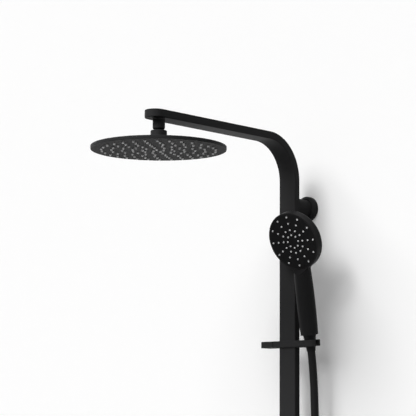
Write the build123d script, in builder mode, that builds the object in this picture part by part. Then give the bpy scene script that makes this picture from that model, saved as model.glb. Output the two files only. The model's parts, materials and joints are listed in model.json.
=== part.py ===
from build123d import *
import os
from math import atan2, cos, degrees, pi, radians, sin, sqrt, tan

# Rainfall shower column: a flat rail bent over at the top, an overhead shower on a ball joint,
# a sliding holder with a hand shower, a diverter at the foot and a hanging hose.
# Millimetres. The origin is the water inlet on the wall: +Y goes into the wall, -Y faces the
# bather, +X is the bather's right and +Z is up.

# ---- Rail ------------------------------------------------------------------------------------
rail_width = 40.0
rail_depth = 15.0
rail_corner = 1.5
rail_inner_corner = 0.4
rail_wall = 1.8
rail_offset = 59.5           # rail's axis from the wall
arm_top = 1140.0             # arm's upper face above the water inlet
bend_radius = 81.0           # of the rail's axis
arm_reach = 376.0            # rail's axis to the overhead shower's axis
arm_overrun = 9.0            # from that axis to the centre of the arm's round end

# ---- Overhead shower -------------------------------------------------------------------------
outlet_thread_radius = 8.3
outlet_thread_length = 12.0
outlet_flange = 2.0          # width and thickness of the outlet's flange inside the arm
outlet_gasket_radius = 11.6
outlet_gasket_thickness = 1.5
stud_radius = 11.4
stud_length = 18.0
stud_edge = 3.0
neck_radius = 6.2
ball_radius = 9.5
ball_drop = 50.0             # arm's upper face down to the ball's centre
port_radius = 3.5            # waterway of the ball, the diverter's ports and the ferrules
seat_thickness = 1.4         # plastic liner between the ball and its nut
seat_top = 6.4               # liner's upper and lower edges, from the ball's centre
seat_bottom = 4.6
nut_radius = 15.2
nut_rise = 13.3              # nut's upper face above the ball's centre
nut_lip = 9.5                # radius of the nut's mouth, which holds the liner in
nut_edge = 1.0
nut_thread_radius = 12.0
hub_rise = 4.4               # hub's upper edge below the ball's centre
head_radius = 125.0
head_thickness = 6.5
head_drop = 72.75            # arm's upper face down to the spray face
head_edge = 1.0
head_skin = 2.2
head_rim = 2.0
spray_plate_thickness = 2.0
nozzle_radius = 2.1
nozzle_tip_radius = 1.3
nozzle_length = 2.6
nozzle_ring_first = 10.0
nozzle_ring_step = 19.0
nozzle_ring_counts = (4, 10, 16, 18, 24, 30)
nozzle_ring_starts = (22.5, 11.0, 6.5, 0.5, 0.5, 0.5)  # degrees from the bather's right

# ---- Wall brackets ---------------------------------------------------------------------------
bracket_drop = 138.5         # arm's upper face down to the upper bracket's axis
stem_radius = 18.0
flange_radius = 25.0
flange_thickness = 13.0
flange_bevel = 5.0
flange_lip = 1.6             # wall of the flange round the plate it hides
plate_thickness = 4.0
plate_boss_radius = 6.0
plate_boss_length = 29.0
plate_boss_edge = 0.8
plate_screw_spacing = 23.0
plate_screw_radius = 2.5
stem_bore_radius = 15.5
stem_bore_depth = 21.0
fixing_screw_radius = 3.0
fixing_head_radius = 5.0
fixing_head_height = 4.0
fixing_seat = 12.0           # rail's back to the seat of the screw's head
insert_radius = 5.0
insert_length = 8.0
grub_radius = 2.5
grub_recess = 2.0            # grub screws stand this far inside the piece they lock
grub_beyond_bore = 4.0       # bracket's grub screw, from the end of the stem's wide bore

# ---- Diverter and inlet ----------------------------------------------------------------------
body_width = 46.0
body_depth = 34.0
body_top = 52.0              # above and below the inlet's axis
body_bottom = 46.0
body_corner = 5.0
body_edge = 1.5
socket_depth = 20.0
gasket_thickness = 1.5
inlet_thread_radius = 10.5
inlet_thread_length = 14.0
inlet_filter_radius = 9.0
inlet_filter_thickness = 2.0
waterway_radius = 5.0
cartridge_radius = 12.5
cartridge_length = 20.0
cartridge_nut_length = 4.0
port_overlap = 1.0           # the diverter's ports cut this far into the cartridge's chamber
spindle_radius = 5.0
spindle_depth = 12.0         # spindle's hold in the cartridge
knob_radius = 18.0
knob_length = 24.0
knob_edge = 1.5
knob_floor = 5.0
grip_width = 5.0
grip_height = 5.0
grip_margin = 2.0

# ---- Hose and its fittings -------------------------------------------------------------------
hose_radius = 7.75
outlet_radius = 10.4         # threaded hose outlet under the diverter
outlet_neck_radius = 9.0     # the outlet's hold in the diverter
outlet_water_radius = 6.0    # waterway of the outlet, the inlet tube and their washers
outlet_length = 14.0
outlet_hold = 10.0
hose_nut_radius = 12.0
hose_nut_length = 27.0
hose_nut_edge = 1.2
washer_thickness = 2.0
ferrule_flange = 2.0
ferrule_length = 24.0
upper_ferrule_hold = 15.0
hose_straight = 50.0         # first run, along the cone seat's axis
bend_share = 0.45            # part of a run that the arc at each of its ends may take

# ---- Slider and holder -----------------------------------------------------------------------
slider_drop = 411.8          # arm's upper face down to the middle of the slider
slider_height = 12.6
slider_front = 4.0           # slider's front face ahead of the rail's
slider_back = 10.0           # slider's back face behind the rail's
slider_left = 33.0           # from the rail's axis
slider_edge = 0.6
liner_thickness = 1.2
lever_length = 31.0
lever_height = 12.4
lever_gap = 1.0
lever_pivot = 27.0           # lever's pin, left of the rail's axis
lever_tongue = 19.0          # depth of the slot for the lever's tongue
lever_corner = 3.0
pin_radius = 1.6
pin_cover = 3.0              # slider's wall ahead of the pin's blind hole
brake_thickness = 1.5
spring_radius = 2.6
spring_length = 3.0
holder_x = 48.7              # middle of the cone seat
holder_setback = 12.6        # the same, behind the rail's front face
holder_end_x = 56.0          # centre of the slider's round end
holder_start = 31.0          # where the holder's end rises out of the slider's flat plate
holder_overlap = 6.0
holder_rise = 6.0            # tilt of the holder's end, up towards the wall
handset_lean = 9.9           # lean of the seat and the handset out from the wall
nut_mid_radius = 10.4        # cone nut's radius in the middle of the slider
nut_taper = 0.13             # growth of that radius per millimetre upwards
cone_top = 17.5              # ends of the cone nut along its axis, from the same middle
cone_bottom = 14.5
cone_bore_radius = 9.95
cone_bore_floor = 5.5

# ---- Hand shower -----------------------------------------------------------------------------
inlet_tube_radius = 9.9
inlet_tube_hold = 18.0
handle_end_radius = 17.2
handle_belly_radius = 18.4
handle_neck_radius = 16.6
neck_above_rim = 6.7         # handle's neck above the lowest point of the head, along the axis
crown_below_face = 5.3       # handle's top below the middle of the face
handle_blend = 10.0
face_forward = 18.5          # face's centre ahead of the handle's axis
face_height = 201.8          # and above the middle of the slider, along that axis
face_tilt = 14.3             # face's tilt to the handle
face_radius = 58.0
face_depth = 19.0
face_back_round = 6.0
face_rim = 2.8
face_plate_thickness = 3.0
lip_length = 40.0            # length of the conical cut ahead of the face
lip_slope = 0.4              # growth of that cut's radius per millimetre forward
hand_nozzle_radius = 1.7
hand_nozzle_tip_radius = 1.2
hand_nozzle_length = 1.4
hand_nozzle_ring_radii = (49.3, 36.4, 23.4, 12.9)
hand_nozzle_ring_counts = (12, 12, 12, 8)

# ---- Clearances ------------------------------------------------------------------------------
running = 0.05               # radial, between turning fits
sliding = 0.15               # slider's liner on the rail
fitting = 0.02               # pieces that are screwed or pushed together
visible_gap = 0.3            # between pieces that pass each other

# ---- Places that follow from the sizes above -------------------------------------------------
rail_y = -rail_offset
rail_front = rail_y - rail_depth / 2
rail_back = rail_y + rail_depth / 2
arm_axis_z = arm_top - rail_depth / 2
arm_underside = arm_top - rail_depth
arm_end_y = rail_y - arm_reach - arm_overrun
head_y = rail_y - arm_reach
ball_z = arm_top - ball_drop
stud_top = arm_underside - outlet_gasket_thickness
stud_bottom = stud_top - stud_length
socket_radius = ball_radius + seat_thickness + 2 * running
hub_top = ball_z - hub_rise
head_bottom = arm_top - head_drop
head_top = head_bottom + head_thickness
bracket_z = arm_top - bracket_drop
body_back = rail_y + body_depth / 2
body_front = rail_y - body_depth / 2
rail_foot = body_top - socket_depth
slider_z = arm_top - slider_drop
slider_front_y = rail_front - slider_front
slider_back_y = rail_back + slider_back
slider_mid_y = (slider_front_y + slider_back_y) / 2
slider_end_radius = (slider_back_y - slider_front_y) / 2
grub_y = -plate_thickness - stem_bore_depth - grub_beyond_bore
spigot_width = rail_width - 2 * rail_wall - 2 * fitting
spigot_depth = rail_depth - 2 * rail_wall - 2 * fitting
knob_grub_y = body_front - visible_gap - knob_length / 2
hose_nut_top = -body_bottom - visible_gap
lower_ferrule_top = -body_bottom - outlet_length - washer_thickness
liner_width = rail_width + 2 * (sliding + liner_thickness)
liner_depth = rail_depth + 2 * (sliding + liner_thickness)
lever_pin_x = -lever_pivot
lever_nose = lever_pivot - rail_width / 2 - running - brake_thickness
tongue_back = slider_mid_y + lever_tongue / 2 - spring_length - visible_gap
tongue_front = slider_mid_y - lever_tongue / 2 + visible_gap
tongue_height = lever_height - 2 * slider_edge
inlet_tube_reach = cone_top - cone_bore_floor - ferrule_flange - washer_thickness
seat_centre = (holder_x, rail_front + holder_setback, slider_z)

# The holder's end tilts up towards the wall about the rail's front face.
level = Plane((0, rail_front, slider_z))
rise = radians(holder_rise)
holder = Plane(level.origin, x_dir=(1, 0, 0), z_dir=(0, -sin(rise), cos(rise)))

# The hand shower's own frame: its Z climbs along the cone seat, its -Y faces the bather.
lean = radians(handset_lean)
hand = Plane(seat_centre, x_dir=(1, 0, 0), z_dir=(0, -sin(lean), cos(lean)))
hand_section = Plane(hand.origin, x_dir=hand.y_dir, z_dir=hand.x_dir)
handle_neck = face_height - face_radius + neck_above_rim
handle_crown = face_height - crown_below_face - handle_neck
face_centre = hand.from_local_coords((0, -face_forward, face_height))
face_angle = radians(handset_lean + face_tilt)
face = Plane(face_centre, x_dir=(1, 0, 0), z_dir=(0, -cos(face_angle), -sin(face_angle)))
face_section = Plane(face.origin, x_dir=face.y_dir, z_dir=face.x_dir)


def write(builder, name):
    """Label a finished piece and write its STEP file."""
    builder.part.label = name
    export_step(builder.part, f"parts/{name}.step")


def cone_radius(height):
    """Cone nut's outer radius at a height along its axis."""
    return nut_mid_radius + nut_taper * height


os.makedirs("parts", exist_ok=True)


# ==== Rail ====================================================================================
def rail_form(inset):
    """The bent rail with its round end, drawn in by an inset on every side."""
    width = rail_width - 2 * inset
    depth = rail_depth - 2 * inset
    corner = max(rail_corner - inset, rail_inner_corner)
    foot = rail_foot - inset
    with BuildPart() as form:
        with BuildLine(Plane.YZ) as path:
            upright = Line((rail_y, foot), (rail_y, arm_axis_z - bend_radius))
            bend = JernArc(upright @ 1, upright % 1, bend_radius, 90)
            Line(bend @ 1, (arm_end_y, arm_axis_z))
        with BuildSketch(Plane.XY.offset(foot)):
            with Locations((0, rail_y)):
                RectangleRounded(width, depth, corner)
        sweep(path=path.wires()[0])
        with BuildSketch(Plane.XZ.offset(-arm_end_y)):
            with Locations((0, arm_axis_z)):
                RectangleRounded(width, depth, corner)
                Rectangle(width, depth, align=(Align.MIN, Align.CENTER), mode=Mode.INTERSECT)
        revolve(axis=Axis((0, arm_end_y, 0), (0, 0, -1)), revolution_arc=180)
    return form.part


with BuildPart() as rail_tube:
    add(rail_form(0))
    add(rail_form(rail_wall), mode=Mode.SUBTRACT)
    with BuildSketch(Plane.XY.offset(arm_underside)):
        with Locations((0, head_y)):
            Circle(outlet_thread_radius)
    extrude(amount=rail_wall, mode=Mode.SUBTRACT)
    with BuildSketch(Plane.XZ.offset(-rail_back)):
        with Locations((0, bracket_z)):
            Circle(insert_radius)
    extrude(amount=rail_wall, mode=Mode.SUBTRACT)
write(rail_tube, "rail_tube")

# ==== Arm outlet and ball joint ===============================================================
with BuildPart() as arm_outlet:
    with BuildSketch(Plane.XY.offset(stud_top - outlet_thread_length)):
        with Locations((0, head_y)):
            Circle(outlet_thread_radius)
            Circle(outlet_water_radius, mode=Mode.SUBTRACT)
    extrude(amount=arm_underside + rail_wall - stud_top + outlet_thread_length)
    with BuildSketch(Plane.XY.offset(arm_underside + rail_wall)):
        with Locations((0, head_y)):
            Circle(outlet_thread_radius + outlet_flange)
            Circle(outlet_water_radius, mode=Mode.SUBTRACT)
    extrude(amount=outlet_flange)
write(arm_outlet, "arm_outlet")

with BuildPart() as outlet_gasket:
    with BuildSketch(Plane.XY.offset(stud_top)):
        with Locations((0, head_y)):
            Circle(outlet_gasket_radius)
            Circle(outlet_thread_radius + fitting, mode=Mode.SUBTRACT)
    extrude(amount=outlet_gasket_thickness)
write(outlet_gasket, "outlet_gasket")

with BuildPart() as ball_stud:
    with BuildSketch(Plane.XZ.offset(-head_y)):
        with BuildLine():
            top = Line((0, stud_top), (stud_radius, stud_top))
            drop = Line(top @ 1, (stud_radius, stud_bottom + stud_edge))
            toe = RadiusArc(drop @ 1, (stud_radius - stud_edge, stud_bottom), stud_edge)
            waist = Line(toe @ 1, (neck_radius, stud_bottom))
            neck_foot = ball_z + sqrt(ball_radius**2 - neck_radius**2)
            neck = Line(waist @ 1, (neck_radius, neck_foot))
            ThreePointArc(neck @ 1, (ball_radius, ball_z), (0, ball_z - ball_radius))
            Line((0, ball_z - ball_radius), (0, stud_top))
        make_face()
    revolve(axis=Axis((0, head_y, 0), (0, 0, 1)))
    with Locations((0, head_y, stud_top)):
        CounterBoreHole(port_radius, outlet_thread_radius + fitting, outlet_thread_length)
write(ball_stud, "ball_stud")

with BuildPart() as ball_seat:
    with BuildSketch(Plane.XZ.offset(-head_y)):
        with Locations((0, ball_z)):
            Circle(ball_radius + running + seat_thickness)
            Circle(ball_radius + running, mode=Mode.SUBTRACT)
        with Locations((0, ball_z - seat_bottom)):
            height = seat_top + seat_bottom
            Rectangle(2 * nut_radius, height, align=(Align.MIN, Align.MIN), mode=Mode.INTERSECT)
    revolve(axis=Axis((0, head_y, 0), (0, 0, 1)))
write(ball_seat, "ball_seat")

with BuildPart() as ball_nut:
    with BuildSketch(Plane.XY.offset(head_top)):
        with Locations((0, head_y)):
            Circle(nut_radius)
    extrude(amount=ball_z + nut_rise - head_top)
    chamfer(ball_nut.edges().group_by(Axis.Z)[-1], nut_edge)
    with BuildSketch(Plane.XY.offset(ball_z)):
        with Locations((0, head_y)):
            Circle(nut_lip)
    extrude(amount=nut_rise, mode=Mode.SUBTRACT)
    with Locations((0, head_y, ball_z)):
        Sphere(socket_radius, mode=Mode.SUBTRACT)
    with BuildSketch(Plane.XY.offset(head_top)):
        with Locations((0, head_y)):
            Circle(nut_thread_radius)
    extrude(amount=hub_top - head_top, mode=Mode.SUBTRACT)
write(ball_nut, "ball_nut")

# ==== Overhead shower =========================================================================
with BuildPart() as head_shell:
    with BuildSketch(Plane.XY.offset(head_bottom)):
        with Locations((0, head_y)):
            Circle(head_radius)
    extrude(amount=head_thickness)
    fillet(head_shell.edges(), head_edge)
    with BuildSketch(Plane.XY.offset(head_bottom)):
        with Locations((0, head_y)):
            Circle(head_radius - head_rim)
    extrude(amount=head_thickness - head_skin, mode=Mode.SUBTRACT)
    with BuildSketch(Plane.XY.offset(head_top)):
        with Locations((0, head_y)):
            Circle(nut_thread_radius - fitting)
    extrude(amount=hub_top - head_top)
    with Locations((0, head_y, ball_z)):
        Sphere(socket_radius, mode=Mode.SUBTRACT)
    with Locations((0, head_y, hub_top)):
        Hole(waterway_radius)
write(head_shell, "head_shell")

with BuildPart() as head_filter:
    with BuildSketch(Plane.XY.offset(head_top - head_skin)):
        with Locations((0, head_y)):
            Circle(waterway_radius - fitting)
    extrude(amount=washer_thickness)
write(head_filter, "head_filter")

with BuildPart() as spray_plate:
    with BuildSketch(Plane.XY.offset(head_bottom)):
        with Locations((0, head_y)):
            Circle(head_radius - head_rim - fitting)
    extrude(amount=spray_plate_thickness)
write(spray_plate, "spray_plate")

with BuildPart() as spray_nozzles:
    with BuildSketch(Plane.XY.offset(head_bottom)):
        with Locations((0, head_y)):
            for ring, (count, start) in enumerate(zip(nozzle_ring_counts, nozzle_ring_starts)):
                with PolarLocations(nozzle_ring_first + ring * nozzle_ring_step, count, start_angle=start):
                    Circle(nozzle_radius)
    nozzle_taper = degrees(atan2(nozzle_radius - nozzle_tip_radius, nozzle_length))
    extrude(amount=-nozzle_length, taper=nozzle_taper)
write(spray_nozzles, "spray_nozzles")


# ==== Wall brackets ===========================================================================
def wall_flange(height, recess_radius, recess_depth):
    """Bevelled cover ring that hides a stem's end on the wall."""
    bore = stem_radius + 2 * running
    with BuildPart() as ring:
        with BuildSketch(Plane.XY.offset(height)):
            with BuildLine():
                Polyline(
                    (bore, -recess_depth),
                    (bore, -flange_thickness),
                    (flange_radius - flange_bevel, -flange_thickness),
                    (flange_radius, -flange_thickness + flange_bevel),
                    (flange_radius, 0),
                    (recess_radius, 0),
                    (recess_radius, -recess_depth),
                    close=True,
                )
            make_face()
        revolve(axis=Axis((0, 0, height), (0, 1, 0)))
    return ring.part


with BuildPart() as upper_flange:
    add(wall_flange(bracket_z, flange_radius - flange_lip, plate_thickness + visible_gap))
write(upper_flange, "upper_flange")

with BuildPart() as lower_flange:
    add(wall_flange(0, stem_radius + flange_lip, flange_lip))
write(lower_flange, "lower_flange")

with BuildPart() as wall_plate:
    with BuildSketch(Plane.XZ):
        with Locations((0, bracket_z)):
            Circle(flange_radius - flange_lip - visible_gap)
            with GridLocations(plate_screw_spacing, 0, 2, 1):
                Circle(plate_screw_radius, mode=Mode.SUBTRACT)
    extrude(amount=plate_thickness)
    with BuildSketch(Plane.XZ.offset(plate_thickness)):
        with Locations((0, bracket_z)):
            Circle(plate_boss_radius)
    extrude(amount=plate_boss_length)
    chamfer(wall_plate.edges().group_by(Axis.Y)[0], plate_boss_edge)
write(wall_plate, "wall_plate")

with BuildPart() as upper_stem:
    with BuildSketch(Plane.XZ.offset(plate_thickness)):
        with Locations((0, bracket_z)):
            Circle(stem_radius)
    extrude(amount=-rail_back - plate_thickness)
    with BuildSketch(Plane.XZ.offset(plate_thickness)):
        with Locations((0, bracket_z)):
            Circle(stem_bore_radius)
    extrude(amount=stem_bore_depth, mode=Mode.SUBTRACT)
    with BuildSketch(Plane.XZ.offset(plate_thickness)):
        with Locations((0, bracket_z)):
            Circle(plate_boss_radius + fitting)
    extrude(amount=-rail_back - fixing_seat - plate_thickness, mode=Mode.SUBTRACT)
    with BuildSketch(Plane.XZ.offset(-rail_back - fixing_seat)):
        with Locations((0, bracket_z)):
            Circle(fixing_screw_radius + fitting)
    extrude(amount=fixing_seat, mode=Mode.SUBTRACT)
    with BuildSketch(Plane.XY.offset(bracket_z - stem_radius)):
        with Locations((0, grub_y)):
            Circle(grub_radius + fitting)
    extrude(amount=stem_radius - plate_boss_radius, mode=Mode.SUBTRACT)
write(upper_stem, "upper_stem")

with BuildPart() as bracket_grub_screw:
    with BuildSketch(Plane.XY.offset(bracket_z - plate_boss_radius)):
        with Locations((0, grub_y)):
            Circle(grub_radius)
    extrude(amount=-(stem_radius - plate_boss_radius - grub_recess))
    with BuildSketch(Plane.XY.offset(bracket_z - stem_radius + grub_recess)):
        with Locations((0, grub_y)):
            RegularPolygon(grub_radius / 2, 6)
    extrude(amount=grub_radius, mode=Mode.SUBTRACT)
write(bracket_grub_screw, "bracket_grub_screw")

with BuildPart() as rail_insert:
    with BuildSketch(Plane.XZ.offset(-rail_back)):
        with Locations((0, bracket_z)):
            Circle(insert_radius - fitting)
            Circle(fixing_screw_radius + fitting, mode=Mode.SUBTRACT)
    extrude(amount=insert_length)
write(rail_insert, "rail_insert")

with BuildPart() as rail_screw:
    with BuildSketch(Plane.XZ.offset(-rail_back - fixing_seat)):
        with Locations((0, bracket_z)):
            Circle(fixing_screw_radius)
    extrude(amount=fixing_seat + insert_length)
    with BuildSketch(Plane.XZ.offset(-rail_back - fixing_seat)):
        with Locations((0, bracket_z)):
            Circle(fixing_head_radius)
            RegularPolygon(fixing_head_radius / 2, 6, mode=Mode.SUBTRACT)
    extrude(amount=-fixing_head_height)
write(rail_screw, "rail_screw")

with BuildPart() as inlet_stem:
    with BuildSketch(Plane.XZ):
        Circle(stem_radius)
    extrude(amount=-body_back)
    with BuildSketch(Plane.XZ):
        Circle(inlet_thread_radius)
    extrude(amount=inlet_thread_length, mode=Mode.SUBTRACT)
    with BuildSketch(Plane.XZ.offset(inlet_thread_length)):
        Circle(inlet_filter_radius)
    extrude(amount=inlet_filter_thickness, mode=Mode.SUBTRACT)
    with BuildSketch(Plane.XZ):
        Circle(waterway_radius)
    extrude(amount=-body_back, mode=Mode.SUBTRACT)
write(inlet_stem, "inlet_stem")

with BuildPart() as inlet_filter:
    with BuildSketch(Plane.XZ.offset(inlet_thread_length)):
        Circle(inlet_filter_radius - fitting)
        Circle(waterway_radius, mode=Mode.SUBTRACT)
    extrude(amount=inlet_filter_thickness)
write(inlet_filter, "inlet_filter")

# ==== Diverter ================================================================================
with BuildPart() as diverter_body:
    with BuildSketch(Plane.XY.offset(-body_bottom)):
        with Locations((0, rail_y)):
            RectangleRounded(body_width, body_depth, body_corner)
    extrude(amount=body_bottom + body_top)
    layers = diverter_body.edges().group_by(Axis.Z)
    fillet(layers[0] + layers[-1], body_edge)
    # Socket for the rail, round the spigot that fills the rail's foot.
    with BuildSketch(Plane.XY.offset(rail_foot - gasket_thickness)):
        with Locations((0, rail_y)):
            RectangleRounded(rail_width + 2 * fitting, rail_depth + 2 * fitting, rail_corner + fitting)
            RectangleRounded(spigot_width, spigot_depth, rail_corner, mode=Mode.SUBTRACT)
    extrude(amount=socket_depth + gasket_thickness, mode=Mode.SUBTRACT)
    # Cartridge chamber from the front, with its inlet, the rail's feed and the hose's feed.
    with BuildSketch(Plane.XZ.offset(-body_front)):
        Circle(cartridge_radius)
    extrude(amount=-(cartridge_length + cartridge_nut_length), mode=Mode.SUBTRACT)
    with BuildSketch(Plane.XZ.offset(-body_back)):
        Circle(waterway_radius)
    extrude(amount=body_depth - cartridge_length - cartridge_nut_length, mode=Mode.SUBTRACT)
    with BuildSketch(Plane.XY.offset(cartridge_radius - port_overlap)):
        with Locations((0, rail_y)):
            Circle(port_radius)
    extrude(amount=body_top, mode=Mode.SUBTRACT)
    with BuildSketch(Plane.XY.offset(-body_bottom)):
        with Locations((0, rail_y)):
            Circle(port_radius)
    extrude(amount=body_bottom - cartridge_radius + port_overlap, mode=Mode.SUBTRACT)
    with BuildSketch(Plane.XY.offset(-body_bottom)):
        with Locations((0, rail_y)):
            Circle(outlet_neck_radius + fitting)
    extrude(amount=outlet_hold, mode=Mode.SUBTRACT)
write(diverter_body, "diverter_body")

with BuildPart() as rail_gasket:
    with BuildSketch(Plane.XY.offset(rail_foot - gasket_thickness)):
        with Locations((0, rail_y)):
            RectangleRounded(rail_width, rail_depth, rail_corner)
            RectangleRounded(
                spigot_width + 2 * fitting, spigot_depth + 2 * fitting, rail_corner, mode=Mode.SUBTRACT
            )
    extrude(amount=gasket_thickness)
write(rail_gasket, "rail_gasket")

with BuildPart() as diverter_cartridge:
    with BuildSketch(Plane.XZ.offset(-body_front - cartridge_nut_length - cartridge_length)):
        Circle(cartridge_radius - fitting)
    extrude(amount=cartridge_length)
    with BuildSketch(Plane.XZ.offset(-body_front - cartridge_nut_length)):
        Circle(spindle_radius + running)
    extrude(amount=-spindle_depth, mode=Mode.SUBTRACT)
write(diverter_cartridge, "diverter_cartridge")

with BuildPart() as cartridge_nut:
    with BuildSketch(Plane.XZ.offset(-body_front - cartridge_nut_length)):
        Circle(cartridge_radius - fitting)
        Circle(spindle_radius + visible_gap, mode=Mode.SUBTRACT)
    extrude(amount=cartridge_nut_length)
write(cartridge_nut, "cartridge_nut")

with BuildPart() as diverter_spindle:
    with BuildSketch(Plane.XZ.offset(-body_front - cartridge_nut_length - spindle_depth)):
        Circle(spindle_radius)
    extrude(amount=spindle_depth + cartridge_nut_length + visible_gap + knob_length - knob_floor)
write(diverter_spindle, "diverter_spindle")

with BuildPart() as diverter_knob:
    with BuildSketch(Plane.XZ.offset(-body_front + visible_gap)):
        Circle(knob_radius)
    extrude(amount=knob_length)
    fillet(diverter_knob.edges().group_by(Axis.Y)[0], knob_edge)
    with BuildSketch(Plane.XZ.offset(-body_front + visible_gap)):
        Circle(spindle_radius + fitting)
    extrude(amount=knob_length - knob_floor, mode=Mode.SUBTRACT)
    # Upright grip bar across the knob's face.
    with BuildSketch(Plane.XZ.offset(-body_front + visible_gap + knob_length)):
        SlotOverall(2 * (knob_radius - grip_margin), grip_width, rotation=90)
    extrude(amount=grip_height)
    with BuildSketch(Plane.XY.offset(-knob_radius)):
        with Locations((0, knob_grub_y)):
            Circle(grub_radius)
    extrude(amount=knob_radius - spindle_radius, mode=Mode.SUBTRACT)
write(diverter_knob, "diverter_knob")

with BuildPart() as knob_grub_screw:
    with BuildSketch(Plane.XY.offset(-spindle_radius)):
        with Locations((0, knob_grub_y)):
            Circle(grub_radius - fitting)
    extrude(amount=-(knob_radius - spindle_radius - grub_recess))
write(knob_grub_screw, "knob_grub_screw")

# ==== Hose outlet under the diverter ==========================================================
with BuildPart() as hose_outlet:
    with BuildSketch(Plane.XY.offset(-body_bottom - outlet_length)):
        with Locations((0, rail_y)):
            Circle(outlet_radius)
    extrude(amount=outlet_length)
    with BuildSketch(Plane.XY.offset(-body_bottom)):
        with Locations((0, rail_y)):
            Circle(outlet_neck_radius)
    extrude(amount=outlet_hold)
    with BuildSketch(Plane.XY.offset(-body_bottom - outlet_length)):
        with Locations((0, rail_y)):
            Circle(outlet_water_radius)
    extrude(amount=outlet_length + outlet_hold, mode=Mode.SUBTRACT)
write(hose_outlet, "hose_outlet")

with BuildPart() as hose_nut:
    with BuildSketch(Plane.XY.offset(hose_nut_top - hose_nut_length)):
        with Locations((0, rail_y)):
            Circle(hose_nut_radius)
    extrude(amount=hose_nut_length)
    chamfer(hose_nut.edges(), hose_nut_edge)
    with BuildSketch(Plane.XY.offset(hose_nut_top)):
        with Locations((0, rail_y)):
            Circle(outlet_radius + fitting)
    extrude(amount=-(hose_nut_top - lower_ferrule_top + ferrule_flange), mode=Mode.SUBTRACT)
    with BuildSketch(Plane.XY.offset(hose_nut_top)):
        with Locations((0, rail_y)):
            Circle(hose_radius + running)
    extrude(amount=-hose_nut_length, mode=Mode.SUBTRACT)
write(hose_nut, "hose_nut")

with BuildPart() as hose_nut_washer:
    with BuildSketch(Plane.XY.offset(lower_ferrule_top)):
        with Locations((0, rail_y)):
            Circle(outlet_radius - visible_gap)
            Circle(outlet_water_radius, mode=Mode.SUBTRACT)
    extrude(amount=washer_thickness)
write(hose_nut_washer, "hose_nut_washer")

with BuildPart() as lower_ferrule:
    with BuildSketch(Plane.XY.offset(lower_ferrule_top - ferrule_length)):
        with Locations((0, rail_y)):
            Circle(hose_radius)
    extrude(amount=ferrule_length)
    with BuildSketch(Plane.XY.offset(lower_ferrule_top - ferrule_flange)):
        with Locations((0, rail_y)):
            Circle(outlet_radius - visible_gap)
    extrude(amount=ferrule_flange)
    with Locations((0, rail_y, lower_ferrule_top)):
        Hole(port_radius)
write(lower_ferrule, "lower_ferrule")

# ==== Slider ==================================================================================
def slider_slab(middle, left, right, end_radius):
    """Soft-edged slab of the slider about its middle plane, with a round or a plain right end."""
    with BuildPart() as slab:
        with BuildSketch(middle.offset(-slider_height / 2)):
            with Locations((left, slider_mid_y - rail_front)):
                Rectangle(right - left, 2 * slider_end_radius, align=(Align.MIN, Align.CENTER))
            if end_radius > 0:
                with Locations((right, slider_mid_y - rail_front)):
                    Circle(end_radius)
        extrude(amount=slider_height)
        layers = slab.edges().group_by(Axis(middle.origin, middle.z_dir))
        chamfer(layers[0] + layers[-1], slider_edge)
    return slab.part


with BuildPart() as slider_body:
    add(slider_slab(level, -slider_left, holder_start + holder_overlap, 0))
    add(slider_slab(holder, holder_start, holder_end_x, slider_end_radius))
    # Way for the rail and its liner, and the slot for the lever's tongue.
    with BuildSketch(Plane.XY.offset(slider_z - slider_height / 2)):
        with Locations((0, rail_y)):
            Rectangle(liner_width + 2 * fitting, liner_depth + 2 * fitting)
        with Locations((0, slider_mid_y)):
            Rectangle(2 * slider_left, lever_tongue, align=(Align.CENTER, Align.CENTER))
            Rectangle(slider_left, lever_tongue, align=(Align.MIN, Align.CENTER), mode=Mode.SUBTRACT)
        with Locations((0, rail_y)):
            Rectangle(liner_width + 2 * fitting, liner_depth + 2 * fitting)
    extrude(amount=slider_height, mode=Mode.SUBTRACT)
    # Cone seat along the handset's lean, open to the right for the hose.
    with BuildSketch(hand_section):
        with BuildLine():
            Polyline(
                (0, -cone_bottom),
                (cone_radius(-cone_bottom) + running, -cone_bottom),
                (cone_radius(cone_top) + running, cone_top),
                (0, cone_top),
                close=True,
            )
        make_face()
    revolve(axis=Axis(hand.origin, hand.z_dir), mode=Mode.SUBTRACT)
    with BuildSketch(hand):
        Rectangle(2 * slider_end_radius, 2 * (hose_radius + visible_gap), align=(Align.MIN, Align.CENTER))
    extrude(amount=2 * slider_height, both=True, mode=Mode.SUBTRACT)
    # Blind hole for the lever's pin, from the back.
    with BuildSketch(Plane.XZ.offset(-slider_back_y)):
        with Locations((lever_pin_x, slider_z)):
            Circle(pin_radius + fitting)
    extrude(amount=2 * slider_end_radius - pin_cover, mode=Mode.SUBTRACT)
write(slider_body, "slider_body")

with BuildPart() as slider_liner:
    with BuildSketch(Plane.XY.offset(slider_z - slider_height / 2)):
        with Locations((0, rail_y)):
            Rectangle(liner_width, liner_depth)
            Rectangle(rail_width + 2 * sliding, rail_depth + 2 * sliding, mode=Mode.SUBTRACT)
        with Locations((0, slider_mid_y)):
            Rectangle(liner_width, lever_tongue, align=(Align.MAX, Align.CENTER), mode=Mode.SUBTRACT)
    extrude(amount=slider_height)
write(slider_liner, "slider_liner")

with BuildPart() as lever_pin:
    with BuildSketch(Plane.XZ.offset(-slider_back_y)):
        with Locations((lever_pin_x, slider_z)):
            Circle(pin_radius)
    extrude(amount=2 * slider_end_radius - pin_cover)
write(lever_pin, "lever_pin")

with BuildPart() as lever_spring:
    with BuildSketch(Plane.XZ.offset(-slider_mid_y - lever_tongue / 2)):
        with Locations((lever_pin_x, slider_z)):
            Circle(spring_radius)
            Circle(pin_radius + running, mode=Mode.SUBTRACT)
    extrude(amount=spring_length)
write(lever_spring, "lever_spring")

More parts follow.
